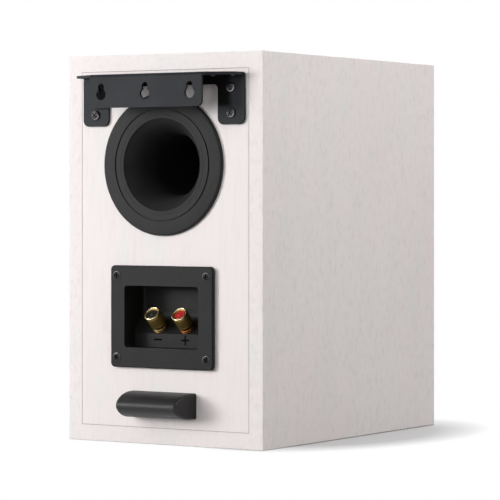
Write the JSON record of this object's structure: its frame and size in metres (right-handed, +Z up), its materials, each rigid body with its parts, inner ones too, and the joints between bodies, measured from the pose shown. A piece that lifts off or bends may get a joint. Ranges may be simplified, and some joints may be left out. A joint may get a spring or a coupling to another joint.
{
  "type": "bookshelf loudspeaker",
  "caption": "White two-way bookshelf speaker with a rear reflex port, a terminal cup with gold binding posts, a keyhole wall bracket and a rubber wall spacer.",
  "frame": {"origin": "middle of the cabinet, on the surface it stands on", "axes": "+Z up, -Y towards the listener (front baffle), +Y towards the wall (rear panel), +X to the right as seen from the front"},
  "size_m": [0.181, 0.297, 0.302],
  "materials": {
    "cabinet_white": "satin white foil wrapped over fibreboard",
    "baffle_white": "satin white front board",
    "raw_board": "bare fibreboard",
    "felt": "needled grey felt",
    "port_plastic": "fine grained black moulding",
    "cup_plastic": "satin black moulding",
    "foam": "black foam gasket",
    "black_screw": "blackened steel",
    "gold": "gold plated brass",
    "washer_steel": "darkened plated steel",
    "black_insert": "black plug",
    "red_insert": "red plug",
    "nylon": "black nylon",
    "tinned": "tinned or nickelled metal",
    "bracket_steel": "black powder coat",
    "bumper_rubber": "moulded black rubber",
    "basket_cast": "black coated casting",
    "trim_rubber": "soft black ring",
    "plated_steel": "zinc plated steel",
    "ferrite": "sintered ferrite",
    "surround_rubber": "butyl rubber",
    "cone_paper": "woven black cone",
    "cap_paper": "coated dust cap",
    "former_foil": "thin foil",
    "copper": "enamelled copper",
    "spider_cloth": "resin dipped cloth",
    "faceplate_plastic": "satin black waveguide",
    "chamber_plastic": "black plastic cup",
    "dome_metal": "thin drawn aluminium",
    "tweeter_cloth": "coated cloth roll",
    "circuit_board": "green glass fibre board",
    "film": "film wrapped capacitor",
    "cement": "white cement resistor"
  },
  "bodies": {
    "cabinet": {"bass_coil": "copper", "black_post_stud": "gold", "board_screws": "tinned", "board_standoffs": "nylon", "brace": "raw_board", "bracket_screws": "black_screw", "cabinet_bottom": "cabinet_white", "cabinet_left": "cabinet_white", "cabinet_right": "cabinet_white", "cabinet_top": "cabinet_white", "capacitors": "film", "crossover_board": "circuit_board", "cup_gasket": "foam", "cup_screws": "black_screw", "front_baffle": "baffle_white", "port_flange": "port_plastic", "port_inner_flare": "port_plastic", "port_tube": "port_plastic", "post_insulators": "nylon", "post_nuts": "tinned", "rear_panel": "cabinet_white", "red_post_stud": "gold", "resistors": "cement", "solder_lugs": "tinned", "terminal_cup": "cup_plastic", "treble_coil": "copper", "tweeter_chamber": "chamber_plastic", "tweeter_faceplate": "faceplate_plastic", "tweeter_gasket": "foam", "tweeter_magnet": "ferrite", "tweeter_screws": "black_screw", "tweeter_surround": "tweeter_cloth", "tweeter_top_plate": "plated_steel", "tweeter_yoke": "plated_steel", "wall_bracket": "bracket_steel", "wall_bumper": "bumper_rubber", "wall_lining": "felt", "woofer_basket": "basket_cast", "woofer_gasket": "foam", "woofer_magnet": "ferrite", "woofer_screws": "black_screw", "woofer_spider": "spider_cloth", "woofer_surround": "surround_rubber", "woofer_top_plate": "plated_steel", "woofer_trim": "trim_rubber", "woofer_yoke": "plated_steel"},
    "woofer_cone_assembly": {"woofer_cone": "cone_paper", "woofer_dust_cap": "cap_paper", "woofer_former": "former_foil", "woofer_coil": "copper"},
    "tweeter_dome_assembly": {"tweeter_dome": "dome_metal", "tweeter_former": "former_foil", "tweeter_coil": "copper"},
    "black_washer_carrier": {"black_clamp_washer": "washer_steel"},
    "red_washer_carrier": {"red_clamp_washer": "washer_steel"},
    "black_knob_turning": {"black_knob": "gold", "black_plug": "black_insert"},
    "red_knob_turning": {"red_knob": "gold", "red_plug": "red_insert"}
  },
  "joints": [
    {"name": "woofer_travel", "type": "slide", "parent": "cabinet", "child": "woofer_cone_assembly", "axis": [0, -1, 0], "range_m": [-0.004, 0.004], "stiffness_N_per_m": 1200, "deforming": ["woofer_surround", "woofer_spider"]},
    {"name": "tweeter_travel", "type": "slide", "parent": "cabinet", "child": "tweeter_dome_assembly", "axis": [0, -1, 0], "range_m": [-0.0003, 0.0003], "stiffness_N_per_m": 2000, "deforming": ["tweeter_surround"]},
    {"name": "black_post_travel", "type": "slide", "parent": "cabinet", "child": "black_washer_carrier", "axis": [0, 0.7431, 0.6691], "range_m": [-0.00042, 0.00262]},
    {"name": "black_post_turn", "type": "hinge", "parent": "black_washer_carrier", "child": "black_knob_turning", "pos_m": [0.0127, 0.1235, 0.09282], "axis": [0, 0.7431, 0.6691], "range_deg": [-205.7, 1337.1]},
    {"name": "red_post_travel", "type": "slide", "parent": "cabinet", "child": "red_washer_carrier", "axis": [0, 0.7431, 0.6691], "range_m": [-0.00042, 0.00262]},
    {"name": "red_post_turn", "type": "hinge", "parent": "red_washer_carrier", "child": "red_knob_turning", "pos_m": [-0.0127, 0.1235, 0.09282], "axis": [0, 0.7431, 0.6691], "range_deg": [-205.7, 1337.1]}
  ],
  "couplings": [
    {"joint": "black_post_travel", "follows": "black_post_turn", "m_per_rad": 0.00011141},
    {"joint": "red_post_travel", "follows": "red_post_turn", "m_per_rad": 0.00011141}
  ]
}
